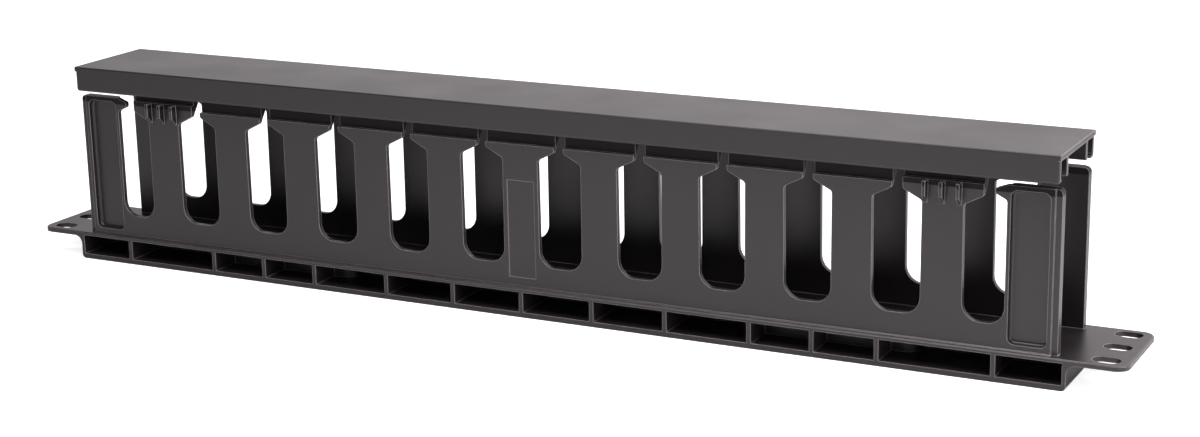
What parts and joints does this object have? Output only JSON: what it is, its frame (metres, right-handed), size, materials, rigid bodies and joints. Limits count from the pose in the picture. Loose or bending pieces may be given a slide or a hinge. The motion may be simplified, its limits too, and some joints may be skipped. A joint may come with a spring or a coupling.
{
  "type": "horizontal cable manager",
  "caption": "Rack-mount finger duct with slotted ears, flexible finger walls on a ribbed base, and a long clip-on cover.",
  "frame": {"origin": "middle of the underside of the base", "axes": "+X along the rack's width, +Y from the front row of fingers to the back row, +Z out of the rack, from the base to the cover"},
  "size_m": [0.4826, 0.0454, 0.0857],
  "materials": {
    "duct_plastic": "fine moulded texture, black",
    "cover_plastic": "fine moulded texture, black"
  },
  "bodies": {
    "duct": {"finger_duct": "duct_plastic"},
    "lid": {"cover": "cover_plastic"}
  },
  "joints": [
    {"name": "cover_lift", "type": "slide", "parent": "duct", "child": "lid", "axis": [0, 0, 1], "range_m": [0, 0.03]}
  ]
}
